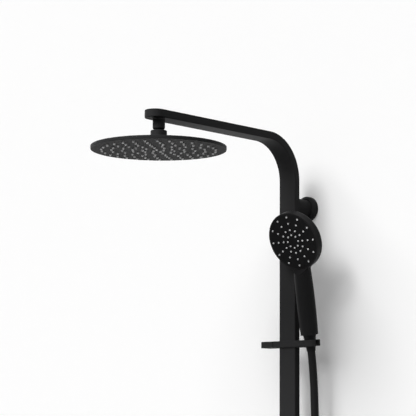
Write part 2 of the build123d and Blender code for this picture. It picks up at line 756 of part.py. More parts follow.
with BuildPart() as release_lever:
    with BuildSketch(Plane.XY.offset(slider_z - lever_height / 2)):
        with Locations((-slider_left - lever_gap, slider_mid_y)):
            Rectangle(lever_length, 2 * slider_end_radius, align=(Align.MAX, Align.CENTER))
    extrude(amount=lever_height)
    fillet(release_lever.edges().filter_by(Axis.Z).group_by(Axis.X)[0], lever_corner)
    layers = release_lever.edges().group_by(Axis.Z)
    chamfer(layers[0] + layers[-1], slider_edge)
    with BuildSketch(Plane.XZ.offset(-tongue_back)):
        with Locations((lever_pin_x, slider_z)):
            Circle(lever_nose)
            Rectangle(2 * lever_nose, lever_height, mode=Mode.INTERSECT)
        with Locations((lever_pin_x, slider_z)):
            neck_length = slider_left + lever_gap - lever_pivot
            Rectangle(neck_length, tongue_height, align=(Align.MAX, Align.CENTER))
    extrude(amount=tongue_back - tongue_front)
    with Locations(Location((lever_pin_x, slider_mid_y, slider_z), (90, 0, 0))):
        Hole(pin_radius + running)
write(release_lever, "release_lever")

with BuildPart() as brake_pad:
    with BuildSketch(Plane.XZ.offset(-tongue_back)):
        with Locations((lever_pin_x, slider_z)):
            reach = lever_nose + brake_thickness
            Circle(reach)
            Circle(lever_nose, mode=Mode.SUBTRACT)
            Rectangle(reach, tongue_height, align=(Align.MIN, Align.CENTER), mode=Mode.INTERSECT)
    extrude(amount=tongue_back - tongue_front)
write(brake_pad, "brake_pad")

# ==== Hand shower =============================================================================
with BuildPart() as handset_body:
    # Handle: a turned body that swells in the middle and runs up the back of the head.
    with BuildSketch(hand_section):
        with BuildLine():
            foot = Line((0, cone_top), (handle_end_radius, cone_top))
            belly = ThreePointArc(
                foot @ 1,
                (handle_belly_radius, (cone_top + handle_neck) / 2),
                (handle_neck_radius, handle_neck),
            )
            shoulder = (handle_neck_radius * cos(radians(45)), handle_neck + handle_crown * sin(radians(45)))
            crown_top = (0, handle_neck + handle_crown)
            crown = Spline(belly @ 1, shoulder, crown_top, tangents=(belly % 1, (-1, 0)))
            Line(crown @ 1, foot @ 0)
        make_face()
    revolve(axis=Axis(hand.origin, hand.z_dir))
    # Head: a round body with a soft back edge.
    with BuildSketch(face_section):
        with BuildLine():
            front = Line((0, 0), (face_radius, 0))
            side = Line(front @ 1, (face_radius, face_back_round - face_depth))
            round_back = RadiusArc(side @ 1, (face_radius - face_back_round, -face_depth), face_back_round)
            back = Line(round_back @ 1, (0, -face_depth))
            Line(back @ 1, (0, 0))
        make_face()
    revolve(axis=Axis(face.origin, face.z_dir))
    # Soft blend where the handle runs into the head's side and back.
    joint = handset_body.edges().filter_by(GeomType.BSPLINE)
    fillet(joint.filter_by(lambda edge: face.to_local_coords(edge.center()).Z < -visible_gap), handle_blend)
    # Conical cut ahead of the face, which leaves the curved lip above the handle.
    with BuildSketch(face_section):
        with BuildLine():
            Polyline(
                (0, 0),
                (face_radius, 0),
                (face_radius + lip_slope * lip_length, lip_length),
                (0, lip_length),
                close=True,
            )
        make_face()
    revolve(axis=Axis(face.origin, face.z_dir), mode=Mode.SUBTRACT)
    with BuildSketch(face):
        Circle(face_radius - face_rim)
    extrude(amount=-face_plate_thickness, mode=Mode.SUBTRACT)
    with BuildSketch(hand.offset(cone_top)):
        Circle(inlet_tube_radius + fitting)
    extrude(amount=inlet_tube_hold, mode=Mode.SUBTRACT)
write(handset_body, "handset_body")

with BuildPart() as handset_face:
    with BuildSketch(face):
        Circle(face_radius - face_rim - fitting)
    extrude(amount=-face_plate_thickness)
write(handset_face, "handset_face")

with BuildPart() as handset_nozzles:
    with BuildSketch(face):
        for ring_radius, count in zip(hand_nozzle_ring_radii, hand_nozzle_ring_counts):
            with PolarLocations(ring_radius, count, start_angle=90):
                Circle(hand_nozzle_radius)
    hand_nozzle_taper = degrees(atan2(hand_nozzle_radius - hand_nozzle_tip_radius, hand_nozzle_length))
    extrude(amount=hand_nozzle_length, taper=hand_nozzle_taper)
write(handset_nozzles, "handset_nozzles")

with BuildPart() as handset_inlet:
    with BuildSketch(hand.offset(cone_top - inlet_tube_reach)):
        Circle(inlet_tube_radius)
        Circle(outlet_water_radius, mode=Mode.SUBTRACT)
    extrude(amount=inlet_tube_reach + inlet_tube_hold)
write(handset_inlet, "handset_inlet")

with BuildPart() as cone_nut:
    with BuildSketch(hand_section):
        with BuildLine():
            Polyline(
                (hose_radius + running, -cone_bottom),
                (cone_radius(-cone_bottom), -cone_bottom),
                (cone_radius(cone_top), cone_top),
                (cone_bore_radius, cone_top),
                (cone_bore_radius, cone_bore_floor),
                (hose_radius + running, cone_bore_floor),
                close=True,
            )
        make_face()
    revolve(axis=Axis(hand.origin, hand.z_dir))
write(cone_nut, "cone_nut")

with BuildPart() as handset_washer:
    with BuildSketch(hand.offset(cone_bore_floor + ferrule_flange)):
        Circle(inlet_tube_radius)
        Circle(outlet_water_radius, mode=Mode.SUBTRACT)
    extrude(amount=washer_thickness)
write(handset_washer, "handset_washer")

with BuildPart() as upper_ferrule:
    with BuildSketch(hand.offset(cone_bore_floor - upper_ferrule_hold)):
        Circle(hose_radius)
    extrude(amount=upper_ferrule_hold)
    with BuildSketch(hand.offset(cone_bore_floor)):
        Circle(inlet_tube_radius - running)
    extrude(amount=ferrule_flange)
    with BuildSketch(hand.offset(cone_bore_floor - upper_ferrule_hold)):
        Circle(port_radius)
    extrude(amount=upper_ferrule_hold + ferrule_flange, mode=Mode.SUBTRACT)
write(upper_ferrule, "upper_ferrule")

# ==== Hose ====================================================================================
# The route hangs from the cone nut, bows out to the right and comes back up to the outlet.
hose_start = hand.from_local_coords((0, 0, cone_bore_floor - upper_ferrule_hold))
hose_drop = hand.from_local_coords((0, 0, cone_bore_floor - upper_ferrule_hold - hose_straight))
hose_end = Vector(0, rail_y, lower_ferrule_top - ferrule_length)
hose_bends = [
    (51.5, -44.2, 574),
    (59, -42.5, 445),
    (77, -42, 270),
    (106, -44, 90),
    (140, -48, -80),
    (175, -51, -208),
    (180, -53, -312),
    (126, -55, -366),
    (50, -57, -366),
    (-4, -59, -312),
]
hose_rise = Vector(0, rail_y, (hose_bends[-1][2] + hose_end.Z) / 2)
hose_route = [hose_start, hose_drop] + [Vector(*point) for point in hose_bends] + [hose_rise, hose_end]


def bend_radii(route):
    """Largest tangent arc at each inner point of a route, from its shorter run and its turn."""
    radii = []
    for before, corner, after in zip(route, route[1:], route[2:]):
        turn = radians((corner - before).get_angle(after - corner))
        shorter = min((corner - before).length, (after - corner).length)
        radii.append(bend_share * shorter / tan(turn / 2))
    return radii


def hose_tube(route, radii):
    """Plain tube along a route of straight runs and tangent arcs, and its centreline's length."""
    with BuildPart() as tube:
        with BuildLine() as path:
            FilletPolyline(*route, radius=radii)
        start = Plane(origin=route[0], z_dir=route[1] - route[0])
        with BuildSketch(start):
            Circle(hose_radius)
        sweep(path=path.wires()[0])
    return tube.part, path.wires()[0].length


hose_radii = bend_radii(hose_route)
hose_join = (hose_route[1] + hose_route[2]) * 0.5
upper_tube, upper_length = hose_tube([hose_start, hose_drop, hose_join], hose_radii[:1])
lower_tube, lower_length = hose_tube([hose_join] + hose_route[2:], hose_radii[1:])

with BuildPart() as hose_upper:
    add(upper_tube)
write(hose_upper, "hose_upper")

with BuildPart() as hose_lower:
    add(lower_tube)
write(hose_lower, "hose_lower")

print("hose bend radii", [round(value) for value in hose_radii])
print("hose join", tuple(round(value, 2) for value in hose_join))
print("hose length", round(upper_length + lower_length, 1))
for name, tube, length in (("upper", upper_tube, upper_length), ("lower", lower_tube, lower_length)):
    print("hose", name, "volume share", round(tube.volume / (pi * hose_radius**2 * length), 4))
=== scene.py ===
"""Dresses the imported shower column: numpy surfaces, procedural finishes, studio and camera.

Meshes are in metres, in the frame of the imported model: the origin is the water inlet on the wall,
-Y faces the bather, +X is the bather's right and +Z is up.
"""

import json
import logging
import math
from dataclasses import dataclass
from enum import Enum

import bmesh
import bpy
import numpy as np
from mathutils import Matrix, Vector

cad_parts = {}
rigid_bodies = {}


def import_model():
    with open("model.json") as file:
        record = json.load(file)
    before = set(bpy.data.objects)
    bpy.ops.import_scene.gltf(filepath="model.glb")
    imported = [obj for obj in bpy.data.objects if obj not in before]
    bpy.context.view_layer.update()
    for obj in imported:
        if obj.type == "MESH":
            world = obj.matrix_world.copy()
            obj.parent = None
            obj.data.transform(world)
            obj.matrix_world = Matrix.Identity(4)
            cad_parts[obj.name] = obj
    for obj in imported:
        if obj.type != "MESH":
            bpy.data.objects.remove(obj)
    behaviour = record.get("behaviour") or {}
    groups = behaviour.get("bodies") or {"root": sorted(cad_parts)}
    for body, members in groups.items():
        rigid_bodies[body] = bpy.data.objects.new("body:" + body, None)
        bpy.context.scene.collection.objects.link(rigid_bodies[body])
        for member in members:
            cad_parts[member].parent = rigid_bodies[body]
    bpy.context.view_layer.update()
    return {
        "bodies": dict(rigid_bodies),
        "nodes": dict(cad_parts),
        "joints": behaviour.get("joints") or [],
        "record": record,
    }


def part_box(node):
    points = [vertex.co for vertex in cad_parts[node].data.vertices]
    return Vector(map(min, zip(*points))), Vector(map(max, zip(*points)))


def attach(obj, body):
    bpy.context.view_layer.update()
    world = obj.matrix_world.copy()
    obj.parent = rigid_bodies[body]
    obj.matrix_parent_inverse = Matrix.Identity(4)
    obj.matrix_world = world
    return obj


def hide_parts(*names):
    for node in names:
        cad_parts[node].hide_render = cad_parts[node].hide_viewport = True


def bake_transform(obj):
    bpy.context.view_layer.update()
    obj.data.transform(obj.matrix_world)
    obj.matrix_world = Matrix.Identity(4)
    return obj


LOG = logging.getLogger("shower_column")
MM = 0.001
TAU = 2 * math.pi
# Metres within which points become one, and under which an edge has no length.
MERGE = 1e-6
SLIVER = 1e-7


# ==== Places and curves =======================================================================
@dataclass(frozen=True)
class Axes:
    """Right-handed axes about an origin, each a row of three numbers."""

    origin: np.ndarray
    x: np.ndarray
    y: np.ndarray
    z: np.ndarray

    def place(self, local: np.ndarray) -> np.ndarray:
        """Return local points in the row frame: origin + a x + b y + c z."""
        return self.origin + local @ np.stack([self.x, self.y, self.z])


def at_joint(frame: dict, name: str) -> Axes:
    """Return axes at a joint whose axis is square to x.

    Args:
        name: Name of the joint.

    Returns:
        Axes with z along the joint's axis and x to the bather's right.
    """
    joint = next(joint for joint in frame["joints"] if joint["name"] == name)
    right = np.array([1.0, 0.0, 0.0])
    along = np.array(joint["axis"], float)
    along /= np.linalg.norm(along)
    return Axes(np.array(joint["pos_m"], float), right, np.cross(along, right), along)


def turned(profile: np.ndarray, steps: int) -> np.ndarray:
    """Turn a profile about the z axis.

    A profile point (r, h) at turn t lands at (r cos t, r sin t, h).

    Args:
        profile: Radius and height of each point, as (n, 2).
        steps: Points round the turn.

    Returns:
        Points as an (n, steps, 3) grid, closed along its second side.
    """
    turn = np.linspace(0, TAU, steps, endpoint=False)
    radius, height = profile[:, :1], profile[:, 1:]
    return np.stack([radius * np.cos(turn), radius * np.sin(turn), height + 0 * turn], -1)


def carried(section: np.ndarray, path: np.ndarray, across: np.ndarray, up: np.ndarray) -> np.ndarray:
    """Carry a flat section along a path.

    Station i puts a section point (a, b) at path_i + a across_i + b up_i.

    Args:
        section: Points of the section, as (m, 2).
        path: Places of the stations, as (n, 3).
        across: First axis of the section at each station, as (n, 3).
        up: Second axis of the section at each station, as (n, 3).

    Returns:
        Points as an (n, m, 3) grid.
    """
    return path[:, None] + section[None, :, :1] * across[:, None] + section[None, :, 1:] * up[:, None]


# ==== Meshes ==================================================================================
class Shell:
    """Gathers grids of points into one closed mesh."""

    def __init__(self) -> None:
        """Start with no points."""
        self.points: list[np.ndarray] = []
        self.faces: list[np.ndarray] = []
        self.count = 0

    def grid(self, points: np.ndarray) -> "Shell":
        """Add a grid of quads whose last column joins the first.

        Quad (i, j) joins points (i, j), (i, j+1), (i+1, j+1) and (i+1, j).

        Args:
            points: Grid of points, as (rows, columns, 3).

        Returns:
            This shell, so that calls can follow one another.
        """
        rows, columns = points.shape[:2]
        first = columns * np.arange(rows - 1)[:, None]
        following = first + columns
        j = np.arange(columns)[None, :]
        m = (j + 1) % columns
        quads = np.stack([first + j, first + m, following + m, following + j], -1)
        return self.add(points.reshape(-1, 3), quads.reshape(-1, 4))

    def cap(self, ring: np.ndarray, inset: float = 0.8) -> "Shell":
        """Close a ring of points with a narrow border and a fan about its middle.

        Args:
            ring: Points of the ring, as (n, 3).
            inset: Size of the fan as a share of the ring's.

        Returns:
            This shell.
        """
        middle = ring.mean(0)
        return self.grid(np.stack([ring, middle + inset * (ring - middle), 0 * ring + middle]))

    def add(self, points: np.ndarray, quads: np.ndarray) -> "Shell":
        """Add points and quads.

        Args:
            points: Points, as (n, 3).
            quads: Four point numbers for each quad, counted from the first of these points.

        Returns:
            This shell.
        """
        self.points.append(points)
        self.faces.append(quads + self.count)
        self.count += len(points)
        return self

    def copies(self, grid: np.ndarray, places: np.ndarray, axes: Axes) -> "Shell":
        """Add one closed grid at many places.

        Args:
            grid: Grid of points in local axes, as (rows, columns, 3).
            places: Local offset of each copy, as (n, 3).
            axes: Axes of the offsets and the grid.

        Returns:
            This shell.
        """
        one = Shell().grid(grid)
        flat, quads = one.points[0], one.faces[0]
        points = axes.place(places[:, None] + flat[None])
        shift = (np.arange(len(places)) * len(flat))[:, None, None]
        return self.add(points.reshape(-1, 3), (quads[None] + shift).reshape(-1, 4))

    def build(self, name: str, sharp: float = 38.0) -> bpy.types.Object:
        """Make the mesh, with double points merged and faces turned outwards.

        Args:
            name: Name of the new object.
            sharp: Angle in degrees over which an edge shades sharp.

        Returns:
            The new object, linked to the scene and at the origin.
        """
        points, quads = np.concatenate(self.points), np.concatenate(self.faces)
        mesh = bpy.data.meshes.new(name)
        mesh.vertices.add(len(points))
        mesh.vertices.foreach_set("co", points.astype(np.float32).ravel())
        mesh.loops.add(quads.size)
        mesh.loops.foreach_set("vertex_index", quads.astype(np.int32).ravel())
        mesh.polygons.add(len(quads))
        mesh.polygons.foreach_set("loop_start", np.arange(0, quads.size, 4, dtype=np.int32))
        mesh.update(calc_edges=True)
        work = bmesh.new()
        work.from_mesh(mesh)
        bmesh.ops.remove_doubles(work, verts=work.verts, dist=MERGE)
        bmesh.ops.dissolve_degenerate(work, edges=work.edges, dist=SLIVER)
        bmesh.ops.recalc_face_normals(work, faces=work.faces)
        work.to_mesh(mesh)
        work.free()
        mesh.polygons.foreach_set("use_smooth", np.ones(len(mesh.polygons), bool))
        mesh.set_sharp_from_angle(angle=math.radians(sharp))
        piece = bpy.data.objects.new(name, mesh)
        bpy.context.scene.collection.objects.link(piece)
        return piece


# ==== Finishes ================================================================================
class Surface(Enum):
    """Named finishes of the shower column's pieces."""

    POWDER_COAT = "black_metal"
    MOULDED = "black_plastic"
    SPRAY_FACE = "black_face"
    SILICONE = "pale_silicone"
    HOSE_SKIN = "black_hose"
    SATIN = "black_satin"
    RUBBER = "black_rubber"
    WHITE_PLASTIC = "white_plastic"
    BRASS = "brass"
    STEEL = "steel"


class Graph:
    """Short-hand for making and joining nodes in one tree."""

    def __init__(self, tree: bpy.types.NodeTree) -> None:
        """Keep the tree that the nodes go into."""
        self.tree = tree

    def node(self, kind: str, values: dict | None = None, **settings: object) -> bpy.types.Node:
        """Make a node, set its own settings and its sockets' values.

        Args:
            kind: Blender's name for the node type.
            values: Socket name or number to a constant, or to another node's output.
            settings: Attributes of the node.

        Returns:
            The new node.
        """
        made = self.tree.nodes.new(kind)
        for key, value in settings.items():
            setattr(made, key, value)
        for key, value in (values or {}).items():
            if isinstance(value, bpy.types.NodeSocket):
                self.tree.links.new(value, made.inputs[key])
            else:
                made.inputs[key].default_value = value
        return made

    def math(self, operation: str, first: object, second: object) -> bpy.types.NodeSocket:
        """Return the output of a maths node on two values or sockets."""
        return self.node("ShaderNodeMath", {0: first, 1: second}, operation=operation).outputs[0]

    def seen(self) -> bpy.types.NodeSocket:
        """Return a socket that is 1 for camera, mirror and transmitted rays, and else 0."""
        path = self.node("ShaderNodeLightPath").outputs
        shown = self.math("MAXIMUM", path["Is Camera Ray"], path["Is Glossy Ray"])
        return self.math("MAXIMUM", shown, path["Is Transmission Ray"])


@dataclass(frozen=True)
class SkinGrain:
    """Node group that every finish shares, for a sprayed, moulded or turned skin.

    Two noises, read from Object coordinates, give a slow change of tone, a change of roughness
    and the height of a fine grain.

    Attributes:
        cloud_scale: Scale of the slow noise, per metre.
        cloud_detail: Detail of the slow noise.
        cloud_share: Share of the slow noise in tone and roughness. The fine one has the rest.
        grain_detail: Detail of the fine noise.
        grain_roughness: How strong the fine noise's small detail is.
    """

    cloud_scale: float = 14.0
    cloud_detail: float = 3.0
    cloud_share: float = 0.7
    grain_detail: float = 4.0
    grain_roughness: float = 0.65

    def sockets(self, group: bpy.types.NodeTree) -> None:
        """Give the group its named inputs and outputs.

        Args:
            group: The new group.
        """
        number, paint = "NodeSocketFloat", "NodeSocketColor"
        inputs = {
            "Color": paint,
            "Tone": number,
            "Roughness": number,
            "Rough Change": number,
            "Grain Scale": number,
        }
        outputs = {"Color": paint, "Roughness": number, "Height": number}
        for sockets, way in ((inputs, "INPUT"), (outputs, "OUTPUT")):
            for label, kind in sockets.items():
                group.interface.new_socket(label, in_out=way, socket_type=kind)

    def build(self) -> bpy.types.NodeTree:
        """Build the group.

        Returns:
            Node group with inputs Color, Tone, Roughness, Rough Change and Grain Scale, and
            outputs Color, Roughness and Height.
        """
        group = bpy.data.node_groups.new("skin_grain", "ShaderNodeTree")
        self.sockets(group)
        g = Graph(group)
        given = g.node("NodeGroupInput").outputs
        place = g.node("ShaderNodeTexCoord").outputs["Object"]
        slow = {"Vector": place, "Scale": self.cloud_scale, "Detail": self.cloud_detail}
        fine = {
            "Vector": place,
            "Scale": given["Grain Scale"],
            "Detail": self.grain_detail,
            "Roughness": self.grain_roughness,
        }
        cloud = g.node("ShaderNodeTexNoise", slow).outputs[0]
        grain = g.node("ShaderNodeTexNoise", fine).outputs[0]
        cloud_part = g.math("MULTIPLY", cloud, self.cloud_share)
        both = g.math("ADD", cloud_part, g.math("MULTIPLY", grain, 1 - self.cloud_share))
        # The noises run from 0 to 1, and this from -1 to 1.
        centred = g.math("MULTIPLY", g.math("SUBTRACT", both, 0.5), 2.0)
        gain = g.math("ADD", g.math("MULTIPLY", centred, given["Tone"]), 1.0)
        tinted = g.node("ShaderNodeVectorMath", {0: given["Color"], "Scale": gain}, operation="SCALE")
        rough = g.math("ADD", given["Roughness"], g.math("MULTIPLY", centred, given["Rough Change"]))
        g.node("NodeGroupOutput", {"Color": tinted.outputs[0], "Roughness": rough, "Height": grain})
        return group


@dataclass(frozen=True)
class Finish:
    """One finish: a Principled shader fed by the shared skin group.

    Attributes:
        color: Linear base colour.
        tone: Share by which the colour changes over the surface.
        roughness: Middle roughness.
        rough_change: How far the roughness changes.
        grain: Scale of the fine grain, per metre.
        bump: Depth of the grain, in metres.
        metallic: 1 for bare metal.
        specular: Specular level of the shader.
    """

    color: tuple[float, float, float]
    tone: float
    roughness: float
    rough_change: float
    grain: float
    bump: float
    metallic: float = 0.0
    specular: float = 0.5

    def build(self, name: str, group: bpy.types.NodeTree) -> bpy.types.Material:
        """Make the material.

        Args:
            name: Name of the material.
            group: The shared skin group.

        Returns:
            The new material.
        """
        material = bpy.data.materials.new(name)
        material.use_nodes = True
        material.node_tree.nodes.clear()
        g = Graph(material.node_tree)
        skin = g.node("ShaderNodeGroup", node_tree=group)
        skin.inputs["Color"].default_value = (*self.color, 1)
        skin.inputs["Tone"].default_value = self.tone
        skin.inputs["Roughness"].default_value = self.roughness
        skin.inputs["Rough Change"].default_value = self.rough_change
        skin.inputs["Grain Scale"].default_value = self.grain
        height = self.relief(g, skin.outputs["Height"])
        bump = g.node("ShaderNodeBump", {"Distance": self.bump, "Strength": 1.0, "Height": height})
        shader_values = {
            "Base Color": skin.outputs["Color"],
            "Roughness": skin.outputs["Roughness"],
            "Metallic": self.metallic,
            "Specular IOR Level": self.specular,
            "Normal": bump.outputs[0],
        }
        shader = g.node("ShaderNodeBsdfPrincipled", shader_values)
        g.node("ShaderNodeOutputMaterial", {"Surface": shader.outputs[0]})
        return material

    def relief(self, g: Graph, height: bpy.types.NodeSocket) -> bpy.types.NodeSocket:
        """Return the height that feeds the bump: plain grain here."""
        return height


@dataclass(frozen=True)
class TurnedMetal(Finish):
    """Bare metal with fine rings from the lathe, one above the other.

    Attributes:
        rings: Scale of the rings, per metre.
        ring_wander: How far they leave their level.
        ring_share: Their height beside the grain's.
    """

    rings: float = 1500.0
    ring_wander: float = 0.4
    ring_share: float = 0.5

    def relief(self, g: Graph, height: bpy.types.NodeSocket) -> bpy.types.NodeSocket:
        """Return the grain with fine rings added.

        Args:
            g: Graph of the material.
            height: Height of the grain.

        Returns:
            Height with rings.
        """
        place = g.node("ShaderNodeTexCoord").outputs["Object"]
        values = {"Vector": place, "Scale": self.rings, "Distortion": self.ring_wander}
        wave = g.node("ShaderNodeTexWave", values, bands_direction="Z").outputs[1]
        return g.math("ADD", g.math("MULTIPLY", wave, self.ring_share), height)


FINISHES: dict[Surface, Finish] = {
    Surface.POWDER_COAT: Finish(
        color=(0.0310, 0.0310, 0.0318),
        tone=0.1,
        roughness=0.5,
        rough_change=0.05,
        grain=1600.0,
        bump=0.00003,
        specular=0.045,
    ),
    Surface.MOULDED: Finish(
        color=(0.0145, 0.0145, 0.0150),
        tone=0.08,
        roughness=0.42,
        rough_change=0.04,
        grain=2200.0,
        bump=0.00001,
        specular=0.06,
    ),
    Surface.SPRAY_FACE: Finish(
        color=(0.0080, 0.0080, 0.0084),
        tone=0.1,
        roughness=0.6,
        rough_change=0.05,
        grain=2600.0,
        bump=0.00002,
        specular=0.055,
    ),
    Surface.SATIN: Finish(
        color=(0.0295, 0.0295, 0.0303),
        tone=0.08,
        roughness=0.46,
        rough_change=0.04,
        grain=1800.0,
        bump=0.00001,
        specular=0.05,
    ),
    Surface.SILICONE: Finish(
        color=(0.96, 0.96, 0.96),
        tone=0.03,
        roughness=0.35,
        rough_change=0.05,
        grain=1800.0,
        bump=0.00001,
        specular=1.0,
    ),
    Surface.HOSE_SKIN: Finish(
        color=(0.0095, 0.0095, 0.0099),
        tone=0.08,
        roughness=0.42,
        rough_change=0.05,
        grain=1200.0,
        bump=0.00001,
        specular=0.1,
    ),
    Surface.RUBBER: Finish(
        color=(0.018, 0.018, 0.018),
        tone=0.1,
        roughness=0.75,
        rough_change=0.06,
        grain=1500.0,
        bump=0.00002,
    ),
    Surface.WHITE_PLASTIC: Finish(
        color=(0.72, 0.72, 0.70),
        tone=0.04,
        roughness=0.45,
        rough_change=0.05,
        grain=1200.0,
        bump=0.00001,
    ),
    Surface.BRASS: TurnedMetal(
        color=(0.62, 0.46, 0.21),
        tone=0.06,
        roughness=0.32,
        rough_change=0.06,
        grain=700.0,
        bump=0.00001,
        metallic=1.0,
    ),
    Surface.STEEL: TurnedMetal(
        color=(0.55, 0.55, 0.56),
        tone=0.05,
        roughness=0.34,
        rough_change=0.06,
        grain=700.0,
        bump=0.00001,
        metallic=1.0,
    ),
}


class Workshop:
    """Holds the finishes, and notes which nodes have got one."""

    def __init__(self) -> None:
        """Build every finish once."""
        group = SkinGrain().build()
        self.materials = {s: FINISHES[s].build(s.value, group) for s in Surface}
        self.dressed: set[str] = set()

    def dress(self, piece: bpy.types.Object, surface: Surface, node: str) -> None:
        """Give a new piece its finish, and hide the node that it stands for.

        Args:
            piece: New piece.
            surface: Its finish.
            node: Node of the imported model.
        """
        piece.data.materials.append(self.materials[surface])
        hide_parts(node)
        self.dressed.add(node)
        LOG.info("%s: %s, %d faces", piece.name, surface.value, len(piece.data.polygons))

    def keep(self, frame: dict, surface: Surface, *names: str) -> None:
        """Give nodes that stay as packed their finish.

        Args:
            surface: Their finish.
            names: Names of the nodes.
        """
        for name in names:
            node = frame["nodes"][name]
            node.data.materials.clear()
            node.data.materials.append(self.materials[surface])
            self.dressed.add(name)
            LOG.info("%s: kept, %s", name, surface.value)


# ==== Studio ==================================================================================
@dataclass(frozen=True)
class Studio:
    """Pale wall and floor, soft lamps and the camera, in metres and degrees.

    Attributes:
        eye: Place of the camera.
        azimuth: Turn of its view from +Y towards -X.
        pitch: Rise of its view.
        roll: Turn about its view, right side up.
        lens: Focal length, in millimetres.
        sensor: Width of the sensor, in millimetres.
        clip: Nearest and farthest distance that it shows.
        floor_z: Height of the floor.
        wall_y: Place of the wall, a little behind the pieces that touch it.
        size: How far the planes reach.
        world: Strength of the light from all round.
        backdrop: Strength that camera and mirror rays see instead.
        key_way: Direction in which both lamps shine.
        key_angle: Width of the narrow lamp.
        key_power: Its strength.
        fill_angle: Width of the wide lamp.
        fill_power: Its strength.
        pale: Tone of the planes for camera and mirror rays.
        bounce: Their tone for all other rays, which keeps the light that they throw back weak.
        wall_glow: Light that the wall adds for camera and mirror rays.
        floor_glow: Light that the floor adds for them.
    """

    eye: tuple[float, float, float] = (2.1891, -2.7056, 0.5430)
    azimuth: float = 42.302
    pitch: float = 7.546
    roll: float = 0.3588
    lens: float = 150.85
    sensor: float = 36.0
    clip: tuple[float, float] = (0.05, 100.0)
    floor_z: float = -0.72
    wall_y: float = 0.0006
    size: float = 14.0
    world: float = 0.12
    backdrop: float = 0.97
    key_way: tuple[float, float, float] = (0.12, 1.0, -0.84)
    key_angle: float = 15.0
    key_power: float = 1.0
    fill_angle: float = 46.0
    fill_power: float = 2.3
    pale: float = 0.8
    bounce: float = 0.24
    wall_glow: float = 0.22
    floor_glow: float = 0.28

    def camera(self) -> None:
        """Set the camera from its azimuth, pitch and roll."""
        a, p, r = (math.radians(v) for v in (self.azimuth, self.pitch, self.roll))
        right = np.array([math.cos(a), math.sin(a), 0])
        level = np.array([-math.sin(a), math.cos(a), 0])
        forward = level * math.cos(p) + np.array([0, 0, math.sin(p)])
        above = -level * math.sin(p) + np.array([0, 0, math.cos(p)])
        x = right * math.cos(r) + above * math.sin(r)
        y = -right * math.sin(r) + above * math.cos(r)
        data = bpy.data.cameras.new("camera")
        data.lens, data.sensor_width = self.lens, self.sensor
        data.clip_start, data.clip_end = self.clip
        camera = bpy.data.objects.new("camera", data)
        turn = Matrix(np.stack([x, y, -forward], 1).tolist()).to_4x4()
        camera.matrix_world = Matrix.Translation(self.eye) @ turn
        bpy.context.scene.collection.objects.link(camera)
        bpy.context.scene.camera = camera

    def lamp(self, name: str, power: float, angle: float) -> None:
        """Add a soft lamp that shines from above and in front, a little from the left.

        Args:
            name: Name of the lamp.
            power: Its strength.
            angle: Its width in degrees: a wide lamp gives soft shadows.
        """
        data = bpy.data.lights.new(name, "SUN")
        data.energy, data.angle = power, math.radians(angle)
        lamp = bpy.data.objects.new(name, data)
        lamp.matrix_world = Vector(self.key_way).to_track_quat("-Z", "Y").to_matrix().to_4x4()
        bpy.context.scene.collection.objects.link(lamp)

    def plane(self, name: str, corners: list[tuple[float, float, float]], glow: float) -> None:
        """Add a plain pale stage plane, whose back is clear so that the object shows from behind.

        Args:
            name: Name of the plane.
            corners: Its four corners, anticlockwise as seen from its front.
            glow: Light added for camera and mirror rays alone, which whitens the background.
        """
        mesh = bpy.data.meshes.new(name)
        mesh.from_pydata(corners, [], [(0, 1, 2, 3)])
        piece = bpy.data.objects.new(name, mesh)
        bpy.context.scene.collection.objects.link(piece)
        material = bpy.data.materials.new(name)
        material.use_nodes = True
        material.node_tree.nodes.clear()
        g = Graph(material.node_tree)
        shown = g.seen()
        tone = g.math("ADD", g.math("MULTIPLY", shown, self.pale - self.bounce), self.bounce)
        paint = g.node("ShaderNodeBsdfDiffuse", {"Color": tone})
        light = g.node("ShaderNodeEmission", {"Strength": g.math("MULTIPLY", shown, glow)})
        both = g.node("ShaderNodeAddShader", {0: paint.outputs[0], 1: light.outputs[0]})
        clear = g.node("ShaderNodeBsdfTransparent")
        back = g.node("ShaderNodeNewGeometry").outputs["Backfacing"]
        either = g.node("ShaderNodeMixShader", {0: back, 1: both.outputs[0], 2: clear.outputs[0]})
        g.node("ShaderNodeOutputMaterial", {"Surface": either.outputs[0]})
        piece.data.materials.append(material)

    def build(self) -> None:
        """Build the whole studio."""
        self.camera()
        s, y, z = self.size, self.wall_y, self.floor_z
        self.plane("wall", [(-s, y, z), (s, y, z), (s, y, s), (-s, y, s)], self.wall_glow)
        self.plane("floor", [(-s, -s, z), (s, -s, z), (s, s, z), (-s, s, z)], self.floor_glow)
        self.lamp("key", self.key_power, self.key_angle)
        self.lamp("fill", self.fill_power, self.fill_angle)
        world = bpy.data.worlds.new("studio")
        world.use_nodes = True
        g = Graph(world.node_tree)
        backdrop = g.math("MULTIPLY", g.seen(), self.backdrop - self.world)
        strength = g.math("ADD", backdrop, self.world)
        sky = world.node_tree.nodes["Background"]
        sky.inputs["Color"].default_value = (1, 1, 1, 1)
        world.node_tree.links.new(strength, sky.inputs["Strength"])
        bpy.context.scene.world = world
        bpy.context.scene.view_settings.view_transform = "Standard"


